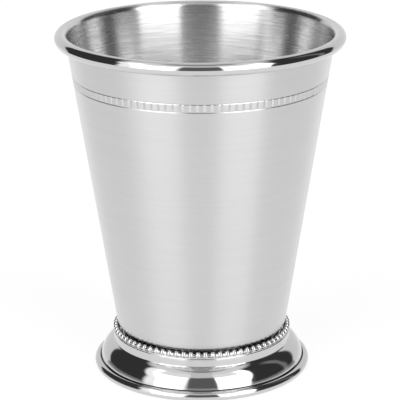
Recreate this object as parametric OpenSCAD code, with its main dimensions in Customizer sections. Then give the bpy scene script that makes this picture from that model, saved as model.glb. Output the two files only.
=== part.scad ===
// Julep cup: a tapered sheet-metal bowl with a curled rim, on a flared foot with a rolled edge,
// with a ring of beads in the joint. The origin is the middle of the circle the cup stands on.

/* [Bowl] */
// Height of the cup, from the surface it stands on to the top of the rim
cup_h = 108; // [100:0.5:116]
// Outside diameter over the curled rim
rim_d = 88.6; // [82:0.2:96]
// Diameter of the rim's hollow curl
rim_curl_d = 3.9; // [3:0.1:5]
// Thickness of the sheet that bowl and foot are made from
sheet_t = 0.6; // [0.5:0.05:0.7]
// Outside radius of the corner between wall and floor
bowl_corner_r = 2; // [1.6:0.1:2.6]
// Distance of the wall's foot inside the collar, measured at the floor
bowl_inset = 1.5; // [1.4:0.1:2]

/* [Scored band] */
// Distance from the top of the rim down to the band's upper line
band_drop = 13.1; // [10:0.1:20]
// Distance between the band's two lines
band_h = 2.5; // [2:0.1:4]
// Width of a scored line
score_w = 0.5; // [0.4:0.05:0.6]
// Depth of a scored line
score_depth = 0.12; // [0.08:0.02:0.16]

/* [Foot] */
// Outside diameter over the foot's rolled edge
foot_d = 68; // [64:0.2:72]
// Diameter of the rolled edge
foot_roll_d = 3; // [2.7:0.1:3.4]
// Height of the collar's straight wall, from the hollow up to the shoulder that carries the beads
collar_h = 2.36; // [2:0.02:3]
// Height of the bowl's seat above that shoulder
seat_rise = 1.7; // [1.5:0.05:2]
// Diameter of the hole in the seat
seat_hole_d = 30; // [20:1:40]
// Width of the shoulder outside the seat
shoulder_w = 2.8; // [2.7:0.05:3]
// Radius of the flare's outward curve
flare_r = 7.5; // [7:0.1:8]
// Radius of the hollow between collar and flare
cove_r = 0.4; // [0.3:0.05:0.6]
// Depth of the crease between flare and rolled edge
crease_depth = 0.28; // [0.2:0.02:0.34]

/* [Beaded wire] */
// Number of beads round the joint
bead_count = 75; // [60:1:78]
// Diameter of a bead
bead_d = 1.96; // [1.7:0.02:2.1]
// Distance of the beads' middle inside the collar
bead_inset = 0.85; // [0.8:0.05:1]
// Width of the flat strip under the beads
strip_w = 1.3; // [1:0.05:1.5]
// Thickness of the flat strip
strip_t = 0.4; // [0.3:0.05:0.6]

/* [Hidden] */
$fn = 180;
bead_fn = 32;

// Direction of the flare's surface, as the angle of its normal above the horizontal
flare_top_angle = 62;
flare_low_angle = 5;
// Angles on the two curled edges, counted from the outward horizontal
rim_curl_end = -120;
foot_roll_join = 107;
foot_roll_wrap = 125;
foot_roll_end = -190;
// Angle by which a bend runs on into the sheet beyond it, so that the two are one piece
bend_lap = 1;
// How far the landing's flat is cut into the rolled edge, as a share of its radius
landing_share = 0.01;
// Gap under a bead, as a share of its diameter, so that the strip alone meets the shoulder
bead_lift_share = 0.03;

// Foot: its outline is worked out upward from the rolled edge
roll_r = foot_roll_d / 2;
roll_c = on_grid([foot_d / 2 - roll_r, roll_r * (1 - landing_share)]);
flare_low = on_circle(roll_c, roll_r, foot_roll_join);
flare_c = on_circle(flare_low, -flare_r, flare_low_angle);
flare_top = on_circle(flare_c, flare_r, flare_top_angle);
cove_c = on_circle(flare_top, cove_r, flare_top_angle);
collar_r = cove_c[0] - cove_r;
shoulder_h = cove_c[1] + collar_h;
seat_h = shoulder_h + seat_rise;
seat_r = collar_r - shoulder_w;
inner_collar_r = collar_r - sheet_t;
inner_seat_r = seat_r - sheet_t;

// Bowl: its wall runs from the floor's edge to the inner side of the curl
curl_r = rim_curl_d / 2;
curl_c = [rim_d / 2 - curl_r, cup_h - curl_r];
wall_foot = [collar_r - bowl_inset, seat_h];
to_curl = curl_c - wall_foot;
wall_lean = atan2(to_curl[0], to_curl[1]) - asin((curl_r - sheet_t) / norm(to_curl));
corner_c = on_grid(wall_foot + [-bowl_corner_r * (1 - sin(wall_lean)) / cos(wall_lean), bowl_corner_r]);

// Beads
bead_ring_r = collar_r - bead_inset;
bead_h = shoulder_h + bead_d * (0.5 + bead_lift_share);

// A point kept to whole thousandths of a millimetre, so that faces that should be level are level
function on_grid(p) = [for (v = p) round(v * 1000) / 1000];

function on_circle(c, r, a) = on_grid(c + r * [cos(a), sin(a)]);

// Point on the bowl's outer wall line at height h
function wall_at(h) = [wall_foot[0] + (h - wall_foot[1]) * tan(wall_lean), h];

// A wedge from point c between angles a0 and a1, long enough to cover a circle of radius r
module wedge(c, r, a0, a1) {
    steps = ceil((a1 - a0) / 45);
    reach = 2 * r;
    fan = [for (i = [0:steps]) on_circle(c, reach, a0 + (a1 - a0) * i / steps)];
    polygon(concat([c], fan));
}

// A bent strip of sheet: the ring between radii r and r - sheet_t, kept between angles a0 and a1
module bend(c, r, a0, a1) {
    intersection() {
        difference() {
            translate(c) circle(r);
            translate(c) circle(r - sheet_t);
        }
        wedge(c, r, a0 - bend_lap, a1 + bend_lap);
    }
}

// A straight strip of sheet from the level of point low to that of point high
module block(low, high) {
    translate(low) square(high - low);
}

module scored_line(h) {
    cut_r = (pow(score_w / 2, 2) + pow(score_depth, 2)) / (2 * score_depth);
    translate(on_circle(wall_at(h), cut_r - score_depth, -wall_lean)) circle(cut_r);
}

module bowl_section() {
    block([0, seat_h], [corner_c[0], seat_h + sheet_t]);
    bend(corner_c, bowl_corner_r, -90, -wall_lean);
    difference() {
        polygon([
            on_circle(corner_c, bowl_corner_r, -wall_lean),
            on_circle(curl_c, curl_r - sheet_t, 180 - wall_lean),
            on_circle(curl_c, curl_r, 180 - wall_lean),
            on_circle(corner_c, bowl_corner_r - sheet_t, -wall_lean)
        ]);
        scored_line(cup_h - band_drop);
        scored_line(cup_h - band_drop - band_h);
    }
    bend(curl_c, curl_r, rim_curl_end, 180 - wall_lean);
}

module bowl() {
    color("gainsboro") rotate_extrude() bowl_section();
}

module seat_section() {
    block([seat_hole_d / 2, seat_h - sheet_t], [seat_r, seat_h]);
    block([inner_seat_r, shoulder_h - sheet_t], [seat_r, seat_h]);
    block([inner_seat_r, shoulder_h - sheet_t], [collar_r, shoulder_h]);
    block([inner_collar_r, cove_c[1]], [collar_r, shoulder_h]);
}

module skirt_section() {
    bend(cove_c, cove_r + sheet_t, 180, 180 + flare_top_angle);
    bend(flare_c, flare_r, flare_low_angle, flare_top_angle);
    bend(roll_c, roll_r, foot_roll_end, foot_roll_wrap);
    polygon([
        flare_low,
        on_circle(flare_c, flare_r - sheet_t, flare_low_angle),
        on_circle(roll_c, roll_r, foot_roll_wrap)
    ]);
}

module foot_section() {
    difference() {
        union() {
            seat_section();
            skirt_section();
        }
        translate(flare_low) circle(crease_depth);
        block([0, -foot_roll_d], [foot_d, 0]);
    }
}

module foot() {
    color("silver") rotate_extrude() foot_section();
}

module beaded_wire() {
    color("whitesmoke") {
        rotate_extrude()
            block([bead_ring_r - strip_w / 2, shoulder_h], [bead_ring_r + strip_w / 2, shoulder_h + strip_t]);
        for (i = [0:bead_count - 1])
            rotate(i * 360 / bead_count)
                translate([bead_ring_r, 0, bead_h])
                    sphere(d = bead_d, $fn = bead_fn);
    }
}

bowl();
foot();
beaded_wire();
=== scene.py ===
from math import asin, atan2, cos, degrees, hypot, pi, radians, sin, tan

import bmesh
import bpy
from mathutils import Euler, Matrix, Vector


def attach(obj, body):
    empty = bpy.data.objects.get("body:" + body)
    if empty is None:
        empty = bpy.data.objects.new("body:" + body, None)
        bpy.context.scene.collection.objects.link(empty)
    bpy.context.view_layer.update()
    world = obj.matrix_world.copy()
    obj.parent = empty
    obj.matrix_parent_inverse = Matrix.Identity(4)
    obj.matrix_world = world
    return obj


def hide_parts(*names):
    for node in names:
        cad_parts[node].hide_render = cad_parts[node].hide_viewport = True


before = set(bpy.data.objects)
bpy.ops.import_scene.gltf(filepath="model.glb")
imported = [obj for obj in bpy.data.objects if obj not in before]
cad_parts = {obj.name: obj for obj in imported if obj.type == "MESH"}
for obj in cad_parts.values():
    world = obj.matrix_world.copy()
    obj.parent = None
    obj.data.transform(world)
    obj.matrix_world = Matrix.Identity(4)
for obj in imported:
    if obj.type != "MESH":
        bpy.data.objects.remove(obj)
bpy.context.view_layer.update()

# Sizes are in millimetres and angles in degrees, as in the part's own source. MM turns millimetres to metres.
MM = 0.001
# Points nearer together than this are made one
WELD = 0.001
# Distance from a bend at which a flat stretch gets one more point, so that it is shaded flat right up to the bend
HOLD = 0.06
# Edges that bend by more than this stay sharp
SHARP_ANGLE = 40.0

# Bowl
CUP_H = 108.0
RIM_D = 88.6
RIM_CURL_D = 3.9
# Angle on the curl at which it ends, counted from the outward level
RIM_CURL_END = -120.0
SHEET_T = 0.6
BOWL_CORNER_R = 2.0
# Distance of the wall's foot inside the collar
BOWL_INSET = 1.5
# The rim's polish starts this far above the curl's underside, and ends this far inward of the curl's middle
RIM_POLISH_RISE = 0.5
RIM_POLISH_IN = 0.4

# Scored band, and the cells between its two lines
BAND_DROP = 13.1
BAND_H = 2.5
SCORE_W = 0.5
SCORE_DEPTH = 0.12
# Where the points across a scored line lie, as shares of half its width
SCORE_SHARES = (-0.55, 0, 0.55)
# One cell is copied to a group of 12 and the group to 9 groups, which makes the 108 cells of the band
CELL_COPIES = (12, 9)
# Azimuth of the first cell's side
CELL_START = -1.5
COLUMNS_PER_CELL = 6
# Depth and half width of the upright line between two cells
CELL_CUT = 0.11
CELL_CUT_HALF_W = 0.17
# How far past the band's own height its points are still taken to belong to it
BAND_SLACK = 0.02

# Foot
FOOT_D = 68.0
FOOT_ROLL_D = 3.0
# Angles on the roll at which the flare's outside and inside join it, and at which it ends
FOOT_ROLL_JOIN = 107.0
FOOT_ROLL_WRAP = 125.0
FOOT_ROLL_END = -190.0
# How far the roll is cut flat underneath, as a share of its radius
LANDING_SHARE = 0.01
COLLAR_H = 2.36
SEAT_RISE = 1.7
SEAT_HOLE_D = 30.0
SHOULDER_W = 2.8
FLARE_R = 7.5
# Angle of the flare's surface at its two ends, by its normal above the level
FLARE_TOP_ANGLE = 62.0
FLARE_LOW_ANGLE = 5.0
# Radius of the hollow between collar and flare
COVE_R = 0.4
CREASE_DEPTH = 0.28
# The part of the crease's circle that is cut into the foot, and the angle on the roll that is kept clear beside it
CREASE_FROM = 97.0
CREASE_TO = 370.0
CREASE_CLEAR = 2.0
# How far past that circle the middle of a face still counts as in the crease
CREASE_SLACK = 0.01
# Radius of the shoulder's outer edge
SHOULDER_EDGE_R = 0.06
# One slice of this many columns is copied to 6 slices, and these to 6 groups
FOOT_COLUMNS = 12
FOOT_COPIES = (6, 6)

# Beaded wire
BEAD_COUNT = 75
# One bead on its stretch of the strip is copied to 15, and these to 5 groups
BEAD_COPIES = (15, 5)
STRIP_COLUMNS = 4
BEAD_D = 1.96
# Gap under a bead, as a share of its diameter
BEAD_LIFT_SHARE = 0.03
# Distance of the beads' middle inside the collar
BEAD_INSET = 0.85
STRIP_W = 1.3
STRIP_T = 0.4
# Width of the small bevel on the strip's upper edges
STRIP_BEVEL = 0.08
# The wire between the beads, and how far its middle lies below theirs
NECK_D = 1.2
NECK_DROP = 0.2
NECK_COLUMNS_PER_BEAD = 3


def on_circle(c, r, a):
    """The point of the circle round c at the angle a, in degrees from the outward level."""
    return (c[0] + r * cos(radians(a)), c[1] + r * sin(radians(a)))


def arc(c, r, a0, a1, steps):
    """Points of the circle round c from angle a0 to angle a1."""
    return [on_circle(c, r, a0 + (a1 - a0) * i / steps) for i in range(steps + 1)]


def chord_angle(chord, r):
    """The angle that a chord spans on a circle."""
    return degrees(2 * asin(chord / 2 / r))


def line(p, q, steps):
    """Points from p to q, both included."""
    return [(p[0] + (q[0] - p[0]) * i / steps, p[1] + (q[1] - p[1]) * i / steps) for i in range(steps + 1)]


def held_line(p, q, steps):
    """Points from p to q, with one more at the distance HOLD from each end."""
    share = HOLD / hypot(q[0] - p[0], q[1] - p[1])
    near_p = (p[0] + (q[0] - p[0]) * share, p[1] + (q[1] - p[1]) * share)
    near_q = (q[0] + (p[0] - q[0]) * share, q[1] + (p[1] - q[1]) * share)
    return [p] + line(near_p, near_q, steps) + [q]


# The foot's section is worked out upward from its rolled edge, as in the part's source.
roll_r = FOOT_ROLL_D / 2
roll_c = (FOOT_D / 2 - roll_r, roll_r * (1 - LANDING_SHARE))
flare_low = on_circle(roll_c, roll_r, FOOT_ROLL_JOIN)
flare_c = on_circle(flare_low, -FLARE_R, FLARE_LOW_ANGLE)
flare_top = on_circle(flare_c, FLARE_R, FLARE_TOP_ANGLE)
cove_c = on_circle(flare_top, COVE_R, FLARE_TOP_ANGLE)
collar_r = cove_c[0] - COVE_R
shoulder_h = cove_c[1] + COLLAR_H
seat_h = shoulder_h + SEAT_RISE
seat_r = collar_r - SHOULDER_W

curl_r = RIM_CURL_D / 2
curl_c = (RIM_D / 2 - curl_r, CUP_H - curl_r)
wall_foot = (collar_r - BOWL_INSET, seat_h)
to_curl = (curl_c[0] - wall_foot[0], curl_c[1] - wall_foot[1])
wall_lean = degrees(atan2(to_curl[0], to_curl[1]) - asin((curl_r - SHEET_T) / hypot(*to_curl)))
corner_c = (
    wall_foot[0] - BOWL_CORNER_R * (1 - sin(radians(wall_lean))) / cos(radians(wall_lean)),
    wall_foot[1] + BOWL_CORNER_R,
)

bead_ring_r = collar_r - BEAD_INSET
bead_h = shoulder_h + BEAD_D * (0.5 + BEAD_LIFT_SHARE)


def wall_at(h):
    """The bowl's outer wall line at the height h."""
    return (wall_foot[0] + (h - wall_foot[1]) * tan(radians(wall_lean)), h)


def score(h, share):
    """A point across the scored line at height h: share is -1 at its lower edge and 1 at its upper edge."""
    r, z = wall_at(h + share * SCORE_W / 2 * cos(radians(wall_lean)))
    depth = SCORE_DEPTH * (1 - share * share)
    return (r - depth * cos(radians(wall_lean)), z + depth * sin(radians(wall_lean)))


def bowl_section():
    """The bowl's sheet, from the middle of its underside up and round the rim's curl to the middle of its floor."""
    upper = CUP_H - BAND_DROP
    lower = upper - BAND_H
    edge = SCORE_W / 2 * cos(radians(wall_lean))
    inner_r = BOWL_CORNER_R - SHEET_T
    lean = -wall_lean
    points = line((0, seat_h), (corner_c[0], seat_h), steps=3)
    points += arc(corner_c, BOWL_CORNER_R, -90, lean, steps=10)[1:]
    points += held_line(points[-1], wall_at(lower - edge), steps=6)[1:]
    points += [score(lower, s) for s in SCORE_SHARES]
    points += held_line(wall_at(lower + edge), wall_at(upper - edge), steps=3)
    points += [score(upper, s) for s in SCORE_SHARES]
    points += held_line(wall_at(upper + edge), on_circle(curl_c, curl_r - SHEET_T, 180 + lean), steps=3)
    points += arc(curl_c, curl_r - SHEET_T, 180 + lean, RIM_CURL_END, steps=16)[1:]
    points += arc(curl_c, curl_r, RIM_CURL_END, 180 + lean, steps=44)
    points += held_line(points[-1], on_circle(corner_c, inner_r, lean), steps=10)[1:]
    points += arc(corner_c, inner_r, lean, -90, steps=7)[1:]
    points += held_line(points[-1], (0, seat_h + SHEET_T), steps=3)[1:]
    return points


def foot_section():
    """The foot's sheet, once round: over seat and shoulder, down the flare, round the roll and back up inside."""
    hole = SEAT_HOLE_D / 2
    step = seat_r - SHEET_T
    inner = collar_r - SHEET_T
    edge_c = (collar_r - SHOULDER_EDGE_R, shoulder_h - SHOULDER_EDGE_R)
    points = [(hole, seat_h - SHEET_T)]
    points += line((hole, seat_h), (seat_r, seat_h), steps=3)
    points += line((seat_r, shoulder_h), (edge_c[0], shoulder_h), steps=2)
    points += arc(edge_c, SHOULDER_EDGE_R, 90, 0, steps=4)[1:]
    points += arc(cove_c, COVE_R, 180, 180 + FLARE_TOP_ANGLE, steps=10)
    flare_end = FLARE_LOW_ANGLE + chord_angle(CREASE_DEPTH, FLARE_R)
    points += arc(flare_c, FLARE_R, FLARE_TOP_ANGLE, flare_end, steps=26)[1:-1]
    points += arc(flare_low, CREASE_DEPTH, CREASE_FROM, CREASE_TO, steps=9)
    roll_start = FOOT_ROLL_JOIN - chord_angle(CREASE_DEPTH, roll_r) - CREASE_CLEAR
    roll = arc(roll_c, roll_r, roll_start, FOOT_ROLL_END, steps=44)
    points += [(r, max(z, 0.0)) for r, z in roll]
    points += arc(roll_c, roll_r - SHEET_T, FOOT_ROLL_END, FOOT_ROLL_WRAP, steps=20)
    points += [on_circle(roll_c, roll_r, FOOT_ROLL_WRAP)]
    points += arc(flare_c, FLARE_R - SHEET_T, FLARE_LOW_ANGLE, FLARE_TOP_ANGLE, steps=10)
    points += arc(cove_c, COVE_R + SHEET_T, 180 + FLARE_TOP_ANGLE, 180, steps=6)
    points += [(inner, shoulder_h - SHEET_T), (step, shoulder_h - SHEET_T), (step, seat_h - SHEET_T)]
    points += line((step, seat_h - SHEET_T), (hole, seat_h - SHEET_T), steps=3)[1:]
    return points


def strip_section():
    """The flat strip under the beads, once round."""
    r0, r1 = bead_ring_r - STRIP_W / 2, bead_ring_r + STRIP_W / 2
    z0, z1 = shoulder_h, shoulder_h + STRIP_T
    b = STRIP_BEVEL
    return [(r0, z0), (r1, z0), (r1, z1 - b), (r1 - b, z1), (r0 + b, z1), (r0, z1 - b), (r0, z0)]


def place(point, azimuth=0.0):
    """The point (r, z) of a section, turned to an azimuth: 0 faces the camera and 90 is on its right."""
    a = radians(azimuth)
    return Vector((point[0] * sin(a), -point[0] * cos(a), point[1])) * MM


def clear_selection():
    for obj in bpy.context.selected_objects:
        obj.select_set(False)


def spin_section(name, points, columns, copies, azimuth=0.0, shape=None):
    """A piece turned from its section: a point is drawn out along the section, and the line is spun into a slice.

    The slice starts at the azimuth and has the given number of columns. What shape(piece) does is done to it once,
    and it is then copied round the axis, in groups, to the full turn.
    """
    clear_selection()
    bpy.ops.mesh.primitive_plane_add(size=MM)
    piece = bpy.context.active_object
    piece.name = piece.data.name = name
    bpy.ops.object.mode_set(mode="EDIT")
    bpy.ops.mesh.select_mode(type="VERT")
    bpy.ops.mesh.select_all(action="SELECT")
    bpy.ops.mesh.merge(type="CENTER")
    bpy.ops.transform.translate(value=place(points[0], azimuth))
    for p, q in zip(points, points[1:]):
        step = place(q, azimuth) - place(p, azimuth)
        bpy.ops.mesh.extrude_region_move(TRANSFORM_OT_translate={"value": step})
    turn = 2 * pi
    for count in copies:
        turn /= count
    bpy.ops.mesh.select_all(action="SELECT")
    bpy.ops.mesh.spin(steps=columns, angle=-turn, center=(0, 0, 0), axis=(0, 0, 1))
    if shape:
        shape(piece)
    copy_round(copies, turn)
    bpy.ops.object.mode_set(mode="OBJECT")
    return piece


def copy_round(copies, turn):
    """Copies what is in the mesh round the axis, each copy turned by the angle turn, then that group, and so on.

    The seams are closed at the end.
    """
    for count in copies:
        bpy.ops.mesh.select_all(action="SELECT")
        bpy.ops.mesh.spin(steps=count - 1, dupli=True, angle=-turn * (count - 1), center=(0, 0, 0), axis=(0, 0, 1))
        turn *= count
    bpy.ops.mesh.select_all(action="SELECT")
    bpy.ops.mesh.remove_doubles(threshold=WELD * MM)
    bpy.ops.mesh.normals_make_consistent(inside=False)


def select_points(piece, wanted):
    """Selects the piece's points for which wanted(r, azimuth, z) is true, in millimetres and degrees."""
    shape = bmesh.from_edit_mesh(piece.data)
    for v in shape.verts:
        x, y, z = (c / MM for c in v.co)
        v.select_set(wanted(hypot(x, y), degrees(atan2(x, -y)), z))
    shape.select_flush_mode()
    bmesh.update_edit_mesh(piece.data)


def smooth(piece):
    """Shades the piece smooth, but for its sharp edges."""
    clear_selection()
    piece.select_set(True)
    bpy.context.view_layer.objects.active = piece
    bpy.ops.object.shade_smooth_by_angle(angle=radians(SHARP_ANGLE))


def cut_cell(bowl):
    """Presses the two side lines of one cell of the band inward, and draws the columns beside them close.

    This leaves the cell standing between two narrow upright lines.
    """
    middle = CUP_H - BAND_DROP - BAND_H / 2
    reach = BAND_H / 2 - SCORE_W / 2 + BAND_SLACK
    r_band = wall_at(middle)[0]
    column = 360 / (CELL_COPIES[0] * CELL_COPIES[1]) / COLUMNS_PER_CELL

    def of_column(*wanted):
        def chosen(r, azimuth, z):
            k = round(abs(azimuth - CELL_START) / column)
            return abs(z - middle) < reach and r > r_band - SHEET_T / 2 and k in wanted

        return chosen

    select_points(bowl, of_column(0, COLUMNS_PER_CELL))
    press = 1 - CELL_CUT / r_band
    bpy.ops.transform.resize(value=(press, press, 1), center_override=(0, 0, 0))
    closer = radians(column) - CELL_CUT_HALF_W / r_band
    for k, turn in ((1, closer), (COLUMNS_PER_CELL - 1, -closer)):
        select_points(bowl, of_column(k))
        bpy.ops.transform.rotate(value=turn, orient_axis="Z", center_override=(0, 0, 0))


def make_bowl():
    """The bowl, spun one cell at a time."""
    bowl = spin_section("cup_bowl", bowl_section(), COLUMNS_PER_CELL, CELL_COPIES, CELL_START, cut_cell)
    smooth(bowl)
    return bowl


def make_foot():
    """The foot, with its flat landing at height 0."""
    foot = spin_section("cup_foot", foot_section(), FOOT_COLUMNS, FOOT_COPIES)
    smooth(foot)
    return foot


def make_beads():
    """The beaded wire: the strip with a bead in the middle of each stretch, and the wire that joins the beads."""

    def add_bead(ring):
        bpy.ops.mesh.primitive_uv_sphere_add(
            segments=24, ring_count=14, radius=BEAD_D / 2 * MM,
            location=place((bead_ring_r, bead_h), 180 / BEAD_COUNT),
        )

    ring = spin_section("bead_ring", strip_section(), STRIP_COLUMNS, BEAD_COPIES, 0, add_bead)
    bpy.ops.object.mode_set(mode="EDIT")
    bpy.ops.mesh.primitive_torus_add(
        major_radius=bead_ring_r * MM, minor_radius=NECK_D / 2 * MM,
        major_segments=NECK_COLUMNS_PER_BEAD * BEAD_COUNT, minor_segments=16,
        location=(0, 0, (bead_h - NECK_DROP) * MM),
    )
    bpy.ops.object.mode_set(mode="OBJECT")
    smooth(ring)
    return ring


def linear(colour):
    """An sRGB hex colour as the linear values that a shader takes."""
    channels = [int(colour[i : i + 2], 16) / 255 for i in (1, 3, 5)]
    return tuple(c / 12.92 if c <= 0.04045 else ((c + 0.055) / 1.055) ** 2.4 for c in channels) + (1.0,)


def add(tree, kind, settings=None, **links):
    """Adds a node: settings are its own properties, and links are values or other nodes' outputs for its inputs.

    An input is given by its name, with _ for a space, or by its number, as in i0.
    """
    node = tree.nodes.new(kind)
    for key, value in (settings or {}).items():
        setattr(node, key, value)
    for key, value in links.items():
        socket = node.inputs[int(key[1:])] if key[1:].isdigit() else node.inputs[key.replace("_", " ")]
        if isinstance(value, bpy.types.NodeSocket):
            tree.links.new(value, socket)
        else:
            socket.default_value = value
    return node


def new_material(name):
    """A material whose node tree is empty, and that tree."""
    material = bpy.data.materials.new(name)
    material.use_nodes = True
    tree = material.node_tree
    tree.nodes.clear()
    return material, tree


# Radius of the wall at half its height, at which the length of a brushed line holds
MIDDLE_R = 35.0
# Noise lies mostly between these two values
NOISE_LOW = 0.3
NOISE_HIGH = 0.7
# Height of the relief that brushing leaves, of which each finish shows its own share
BRUSHED_RELIEF = 0.02
# Turn of the drawn-out reflections, as a share of a full turn: a quarter lays them across the brushed lines
ACROSS_LINES = 0.25
# The colour is painted darker at the wall's foot, as painted shade in the corner above the beads, and the floor
# inside gets the same darker colour:
# heights above the bowl's seat at which this painted shade starts to end and has ended
CORNER_SHADE_COLOUR = "#C0C0C0"
CORNER_SHADE_BELOW = 0.8
CORNER_SHADE_UP_TO = 2.6
# Waves that buffing leaves in the polished steel: width and height
WAVE_W = 6.25
WAVE_H = 0.15


def turned_lines(tree, along, across):
    """Noise drawn out into lines round the axis, of a length and a width in millimetres.

    Its rows are counted by height and radius added up, so that the lines run round the wall and the flat floor alike.
    """
    where = add(tree, "ShaderNodeTexCoord").outputs["Object"]
    flat = add(tree, "ShaderNodeVectorMath", {"operation": "MULTIPLY"}, i0=where, i1=(1, 1, 0)).outputs[0]
    radius = add(tree, "ShaderNodeVectorMath", {"operation": "LENGTH"}, i0=flat).outputs["Value"]
    heading = add(tree, "ShaderNodeVectorMath", {"operation": "NORMALIZE"}, i0=flat).outputs[0]
    height = add(tree, "ShaderNodeSeparateXYZ", Vector=where).outputs["Z"]
    run = add(tree, "ShaderNodeMath", {"operation": "ADD"}, i0=height, i1=radius).outputs[0]
    round_axis = add(
        tree, "ShaderNodeVectorMath", {"operation": "SCALE"}, i0=heading, Scale=MIDDLE_R / along
    ).outputs[0]
    rows = add(tree, "ShaderNodeMath", {"operation": "MULTIPLY"}, i0=run, i1=1 / (across * MM)).outputs[0]
    up = add(tree, "ShaderNodeCombineXYZ", Z=rows).outputs[0]
    point = add(tree, "ShaderNodeVectorMath", {"operation": "ADD"}, i0=round_axis, i1=up).outputs[0]
    return add(tree, "ShaderNodeTexNoise", Vector=point, Scale=1.0, Detail=2.0, Roughness=0.6).outputs["Fac"]


def brushed_steel(name, colours, fine_lines, broad_lines, roughness, anisotropy, relief):
    """Steel brushed round the cup's axis. Fine and broad lines are each given as a length and a width.

    The fine lines carry the roughness, from its first value to its second, and the relief. The broad ones carry the
    colour, from its first value to its second.
    """
    material, tree = new_material(name)
    fine = turned_lines(tree, *fine_lines)
    broad = turned_lines(tree, *broad_lines)
    tone = add(tree, "ShaderNodeMapRange", Value=broad, i1=NOISE_LOW, i2=NOISE_HIGH, i3=0.0, i4=1.0).outputs[0]
    unshaded = add(
        tree, "ShaderNodeMix", {"data_type": "RGBA"}, i0=tone, i6=linear(colours[0]), i7=linear(colours[1])
    ).outputs[2]
    # Painted shade: towards the bowl's seat the colour turns to the darker shade colour, standing in for the shade at
    # the wall's foot
    where = add(tree, "ShaderNodeTexCoord").outputs["Object"]
    height = add(tree, "ShaderNodeSeparateXYZ", Vector=where).outputs["Z"]
    above = add(
        tree, "ShaderNodeMapRange",
        Value=height, i1=(seat_h + CORNER_SHADE_BELOW) * MM, i2=(seat_h + CORNER_SHADE_UP_TO) * MM, i3=0.0, i4=1.0,
    ).outputs[0]
    colour = add(tree, "ShaderNodeMix", {"data_type": "RGBA"}, i0=above, i6=linear(CORNER_SHADE_COLOUR), i7=unshaded).outputs[2]
    rough = add(
        tree, "ShaderNodeMapRange", Value=fine, i1=NOISE_LOW, i2=NOISE_HIGH, i3=roughness[0], i4=roughness[1]
    ).outputs[0]
    bump = add(tree, "ShaderNodeBump", Strength=relief, Distance=BRUSHED_RELIEF * MM, Height=fine).outputs[0]
    tangent = add(tree, "ShaderNodeTangent", {"direction_type": "RADIAL", "axis": "Z"}).outputs[0]
    shader = add(
        tree, "ShaderNodeBsdfPrincipled",
        Base_Color=colour, Metallic=1.0, Roughness=rough,
        Anisotropic=anisotropy, Anisotropic_Rotation=ACROSS_LINES, Normal=bump, Tangent=tangent,
    )
    add(tree, "ShaderNodeOutputMaterial", Surface=shader.outputs[0])
    return material


def polished_steel(name, colour, roughness):
    """Steel of one colour and roughness, with the slight waves of buffing."""
    material, tree = new_material(name)
    where = add(tree, "ShaderNodeTexCoord").outputs["Object"]
    waves = add(tree, "ShaderNodeTexNoise", Vector=where, Scale=1 / (WAVE_W * MM), Detail=1.0).outputs["Fac"]
    bump = add(tree, "ShaderNodeBump", Strength=0.4, Distance=WAVE_H * MM, Height=waves).outputs[0]
    shader = add(
        tree, "ShaderNodeBsdfPrincipled",
        Base_Color=linear(colour), Metallic=1.0, Roughness=roughness, Normal=bump,
    )
    add(tree, "ShaderNodeOutputMaterial", Surface=shader.outputs[0])
    return material


# Floor: its radius, the share of its look that is its own white and not the lamps' light on it, and that white
FLOOR_R = 600.0
PAPER_WHITE_SHARE = 0.8
PAPER_WHITE = 1.08
# In the metal's view of it the paper also has a faint sheen, and a glaze that is strong where it is seen at a low
# angle. The slant at which the glaze begins and is full runs from 0, straight down, to 1, along the paper.
PAPER_SHEEN = 0.035
GLAZE_FROM = 0.76
GLAZE_FULL = 0.90
GLAZE = 0.8


def floor_paper():
    """White paper that keeps part of the cup's shadow: plain white to the camera, and glazed where metal shows it."""
    material, tree = new_material("white_paper_floor")
    rays = add(tree, "ShaderNodeLightPath").outputs
    in_metal = rays["Is Glossy Ray"]
    seen = add(tree, "ShaderNodeMath", {"operation": "MAXIMUM"}, i0=rays["Is Camera Ray"], i1=in_metal).outputs[0]
    share = add(tree, "ShaderNodeMath", {"operation": "MULTIPLY"}, i0=seen, i1=PAPER_WHITE_SHARE).outputs[0]
    lit = add(tree, "ShaderNodeBsdfDiffuse", Color=linear("#F4F4F4")).outputs[0]
    white = add(tree, "ShaderNodeEmission", Color=(1, 1, 1, 1), Strength=PAPER_WHITE).outputs[0]
    paper = add(tree, "ShaderNodeMixShader", Fac=share, i1=lit, i2=white).outputs[0]
    faint = add(tree, "ShaderNodeMath", {"operation": "MULTIPLY"}, i0=in_metal, i1=PAPER_SHEEN).outputs[0]
    nothing = add(tree, "ShaderNodeBsdfTransparent", Color=(0, 0, 0, 1)).outputs[0]
    gloss = add(tree, "ShaderNodeBsdfGlossy", Color=(1, 1, 1, 1), Roughness=0.25).outputs[0]
    sheen = add(tree, "ShaderNodeMixShader", Fac=faint, i1=nothing, i2=gloss).outputs[0]
    plain = add(tree, "ShaderNodeAddShader", i0=paper, i1=sheen).outputs[0]
    slant = add(tree, "ShaderNodeLayerWeight", Blend=0.5).outputs["Facing"]
    low = add(tree, "ShaderNodeMapRange", Value=slant, i1=GLAZE_FROM, i2=GLAZE_FULL, i3=0.0, i4=GLAZE).outputs[0]
    low_in_metal = add(tree, "ShaderNodeMath", {"operation": "MULTIPLY"}, i0=low, i1=in_metal).outputs[0]
    mirror = add(tree, "ShaderNodeBsdfGlossy", Color=(1, 1, 1, 1), Roughness=0.1).outputs[0]
    glazed = add(tree, "ShaderNodeMixShader", Fac=low_in_metal, i1=plain, i2=mirror).outputs[0]
    add(tree, "ShaderNodeOutputMaterial", Surface=glazed)
    # The paper's own white is only looked at. It isn't a lamp
    material.cycles.emission_sampling = "NONE"
    return material


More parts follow.
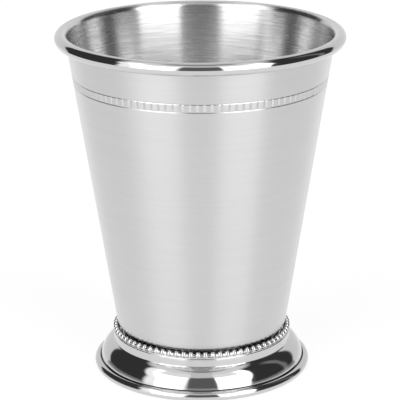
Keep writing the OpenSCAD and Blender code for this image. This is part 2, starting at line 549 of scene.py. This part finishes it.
# The studio that the metal mirrors, lamp by lamp, in degrees as seen from the cup. Azimuth is 0 on the camera's side
# and grows to its right, and height is 0 at the horizon. A row gives the azimuths of the two sides, the softness of
# each, the heights of foot and top, their softness, the lean, the height it starts at, and the level.
# The lean is how far the outer side moves out per degree of height.
STUDIO = {
    "left_softbox": ((-55, -19), (3, 5), (-12, 62), 6, 0.85, 25, 3.0),
    "left_softbox_edge": ((-67, -50), (4, 4), (-12, 62), 6, 0.85, 25, 1.4),
    "right_softbox": ((18, 56), (2, 2), (-12, 62), 6, 0.4, 12, 3.0),
    "front_gap": ((-60, 60), (10, 10), (-12, 48), 6, 0.0, 0, 0.15),
    "front_overhead": ((-60, 60), (10, 10), (48, 76), 4, 0.0, 0, 0.80),
    "left_overhead": ((-150, -20), (8, 8), (58, 76), 4, 0.0, 0, 1.0),
    "right_overhead": ((20, 150), (8, 8), (62, 76), 4, 0.0, 0, 1.0),
    "right_strip": ((104, 111), (3, 3), (-12, 50), 8, 0.3, 25, 0.25),
    "ceiling": ((-200, 200), (1, 1), (76, 100), 5, 0.0, 0, 0.38),
}
# Level of the dark between the lamps
STUDIO_DARK = 0.045
# The frosted panel over the front, which hides the softboxes' tops and shows no brighter than its own level:
# azimuths of its sides, their softness, heights of foot and top, their softness, level. Beside it the same limit is
# so much higher that no lamp meets it.
PANEL = ((-68, 56), 3, (46, 65), 3, 1.15)
PANEL_CLEAR = 4.0
# The pale backdrop behind the cup, left (-1) and right (1): azimuth at which it starts, and how far that start moves
# back per degree of height, up to a limit. Then the softness of its side, its top with its softness, and its level.
BACKDROP = ((-1, 124, 0.72), (1, 123, 0.5))
BACKDROP_MOVE = 30.0
BACKDROP_SOFT = 3
BACKDROP_TOP = (76, 6)
BACKDROP_LEVEL = 0.86


def between(tree, values, limits, softness):
    """1 where the first value is past the first limit and the second short of the second, and 0 elsewhere.

    It changes smoothly over the softness before and past each limit.
    """
    smooth_step = {"interpolation_type": "SMOOTHSTEP"}
    past_first = add(
        tree, "ShaderNodeMapRange", smooth_step,
        Value=values[0], i1=limits[0] - softness[0], i2=limits[0] + softness[0], i3=0.0, i4=1.0,
    ).outputs[0]
    short_of_second = add(
        tree, "ShaderNodeMapRange", smooth_step,
        Value=values[1], i1=limits[1] - softness[1], i2=limits[1] + softness[1], i3=1.0, i4=0.0,
    ).outputs[0]
    return add(tree, "ShaderNodeMath", {"operation": "MULTIPLY"}, i0=past_first, i1=short_of_second).outputs[0]


def build_world():
    """The studio by direction, as the metal sees it. The camera sees plain white."""
    world = bpy.data.worlds.new("studio")
    bpy.context.scene.world = world
    world.use_nodes = True
    tree = world.node_tree
    tree.nodes.clear()
    heading = add(tree, "ShaderNodeTexCoord").outputs["Generated"]
    axes = add(tree, "ShaderNodeSeparateXYZ", Vector=heading).outputs
    to_camera = add(tree, "ShaderNodeMath", {"operation": "MULTIPLY"}, i0=axes["Y"], i1=-1.0).outputs[0]
    around = add(tree, "ShaderNodeMath", {"operation": "ARCTAN2"}, i0=axes["X"], i1=to_camera).outputs[0]
    azimuth = add(tree, "ShaderNodeMath", {"operation": "DEGREES"}, i0=around).outputs[0]
    upward = add(tree, "ShaderNodeMath", {"operation": "ARCSINE"}, i0=axes["Z"]).outputs[0]
    height = add(tree, "ShaderNodeMath", {"operation": "DEGREES"}, i0=upward).outputs[0]

    light = STUDIO_DARK
    for sides, soft, heights, soft_h, lean, lean_from, level in STUDIO.values():
        # The outer side is met by a heading taken inward as far as the side has moved out
        outward = add(
            tree, "ShaderNodeMapRange", Value=height, i1=lean_from, i2=90.0, i3=0.0, i4=lean * (90 - lean_from)
        ).outputs[0]
        on_right = sides[0] > 0
        taken_in = {"operation": "SUBTRACT" if on_right else "ADD"}
        outer = add(tree, "ShaderNodeMath", taken_in, i0=azimuth, i1=outward).outputs[0]
        across = between(tree, (azimuth, outer) if on_right else (outer, azimuth), sides, soft)
        upright = between(tree, (height, height), heights, (soft_h, soft_h))
        lamp = add(tree, "ShaderNodeMath", {"operation": "MULTIPLY"}, i0=across, i1=upright).outputs[0]
        lamp = add(tree, "ShaderNodeMath", {"operation": "MULTIPLY"}, i0=lamp, i1=level).outputs[0]
        light = add(tree, "ShaderNodeMath", {"operation": "MAXIMUM"}, i0=light, i1=lamp).outputs[0]

    sides, soft, heights, soft_h, level = PANEL
    across = between(tree, (azimuth, azimuth), sides, (soft, soft))
    upright = between(tree, (height, height), heights, (soft_h, soft_h))
    panel = add(tree, "ShaderNodeMath", {"operation": "MULTIPLY"}, i0=across, i1=upright).outputs[0]
    limit = add(tree, "ShaderNodeMapRange", Value=panel, i1=0.0, i2=1.0, i3=level + PANEL_CLEAR, i4=level).outputs[0]
    light = add(tree, "ShaderNodeMath", {"operation": "MINIMUM"}, i0=light, i1=limit).outputs[0]

    for side, start, move in BACKDROP:
        moved = add(
            tree, "ShaderNodeMapRange", Value=height, i1=0.0, i2=BACKDROP_MOVE / move, i3=0.0, i4=BACKDROP_MOVE
        ).outputs[0]
        turned = add(tree, "ShaderNodeMath", {"operation": "MULTIPLY"}, i0=azimuth, i1=side).outputs[0]
        back = add(tree, "ShaderNodeMath", {"operation": "SUBTRACT"}, i0=turned, i1=moved).outputs[0]
        drop = between(tree, (back, height), (start, BACKDROP_TOP[0]), (BACKDROP_SOFT, BACKDROP_TOP[1]))
        drop = add(tree, "ShaderNodeMath", {"operation": "MULTIPLY"}, i0=drop, i1=BACKDROP_LEVEL).outputs[0]
        light = add(tree, "ShaderNodeMath", {"operation": "MAXIMUM"}, i0=light, i1=drop).outputs[0]

    to_eye = add(tree, "ShaderNodeLightPath").outputs["Is Camera Ray"]
    strength = add(tree, "ShaderNodeMix", {"data_type": "FLOAT"}, i0=to_eye, i2=light, i3=1.0).outputs[0]
    shade = add(tree, "ShaderNodeBackground", Color=(1, 1, 1, 1), Strength=strength).outputs[0]
    add(tree, "ShaderNodeOutputWorld", Surface=shade)


# Camera: how far it looks down, its roll, the point it looks at and how far away that is, its focal length in pixels
# of a frame 400 pixels wide, the sensor's width, and the nearest distance that it sees
CAMERA_TILT = 17.849
CAMERA_ROLL = -0.29
CAMERA_TARGET = (-0.316, 0, 53.712)
CAMERA_DISTANCE = 606.14
FOCAL_PIXELS = 1944.7
FRAME_PIXELS = 400
SENSOR_W = 36.0
NEAREST = 10.0


def build_camera():
    """The photograph's view, fitted to the cup's outline."""
    turn = Euler((radians(90 - CAMERA_TILT), 0, 0)).to_matrix() @ Matrix.Rotation(radians(CAMERA_ROLL), 3, "Z")
    data = bpy.data.cameras.new("camera")
    data.sensor_width = SENSOR_W
    data.lens = FOCAL_PIXELS / FRAME_PIXELS * SENSOR_W
    data.clip_start = NEAREST * MM
    camera = bpy.data.objects.new("camera", data)
    camera.location = (Vector(CAMERA_TARGET) + turn @ Vector((0, 0, CAMERA_DISTANCE))) * MM
    camera.rotation_euler = turn.to_euler()
    bpy.context.scene.collection.objects.link(camera)
    bpy.context.scene.camera = camera


def build_floor():
    """A wide disc of paper that the cup stands on."""
    clear_selection()
    bpy.ops.mesh.primitive_circle_add(vertices=96, radius=FLOOR_R * MM, fill_type="NGON")
    floor = bpy.context.active_object
    floor.name = floor.data.name = "floor"
    floor.data.materials.append(floor_paper())


def finish(piece, materials, chosen):
    """Gives the piece its materials, and each face the one that chosen(r, z) names by its number."""
    for material in materials:
        piece.data.materials.append(material)
    for face in piece.data.polygons:
        x, y, z = (c / MM for c in face.center)
        face.material_index = chosen(hypot(x, y), z)


def bowl_finish(r, z):
    """0 on the satin outside, 1 on the brushed inside and 2 on the polished rim."""
    if z > curl_c[1] - curl_r + RIM_POLISH_RISE and r > curl_c[0] - RIM_POLISH_IN:
        return 2
    inside_wall = z > seat_h + SHEET_T / 2 and r < wall_at(z)[0] - SHEET_T / 2
    return 1 if inside_wall or (z > curl_c[1] and r < curl_c[0]) else 0


def foot_finish(r, z):
    """1 in the crease, which is painted dark as shade, and 0 on the rest, which is polished."""
    return 1 if hypot(r - flare_low[0], z - flare_low[1]) < CREASE_DEPTH + CREASE_SLACK else 0


build_camera()
build_world()
build_floor()
bpy.context.scene.view_settings.view_transform = "Standard"

# Stainless steel sheet, satin finished outside with fine abrasive held against the turning bowl. It gives a soft,
# even grey in which the lamps show as blurred upright bands. The lines are really 0.02 to 0.05 mm apart and are drawn
# coarser, 0.22 mm, to show.
satin = brushed_steel(
    "stainless_steel_satin_outside", ("#CBCBCC", "#CECECE"), fine_lines=(9, 0.22), broad_lines=(30, 1.1),
    roughness=(0.28, 0.31), anisotropy=0.7, relief=0.04,
)
# The same sheet brushed round the axis inside. It gives light and dark bands drawn out from rim to floor, with fine
# level lines across them. These are really about 0.05 mm apart and are drawn coarser, 0.25 mm, to show.
brushed = brushed_steel(
    "stainless_steel_brushed_inside", ("#C8C8C9", "#E2E2E2"), fine_lines=(8, 0.25), broad_lines=(12, 0.5),
    roughness=(0.22, 0.28), anisotropy=0.9, relief=0.25,
)
# Stainless steel buffed to a mirror on rim and foot. It gives clear, slightly wavy reflections.
polished = polished_steel("stainless_steel_mirror_polished", "#CBCBCB", roughness=0.07)
# Stainless steel wire pressed into beads and buffed lightly. It gives each bead a small bright spot with soft edges.
beaded = polished_steel("stainless_steel_polished_beads", "#CDCDCD", roughness=0.12)
# Steel in the crease, rougher and painted dark as shade in the narrow groove. It gives a dull dark line.
crease_shade = polished_steel("steel_painted_shade_in_crease", "#4A4A4A", roughness=0.45)

bowl = make_bowl()
finish(bowl, (satin, brushed, polished), bowl_finish)
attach(bowl, "root")
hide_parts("bowl")

foot = make_foot()
finish(foot, (polished, crease_shade), foot_finish)
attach(foot, "root")
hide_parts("foot")

beads = make_beads()
beads.data.materials.append(beaded)
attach(beads, "root")
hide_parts("beaded_wire")
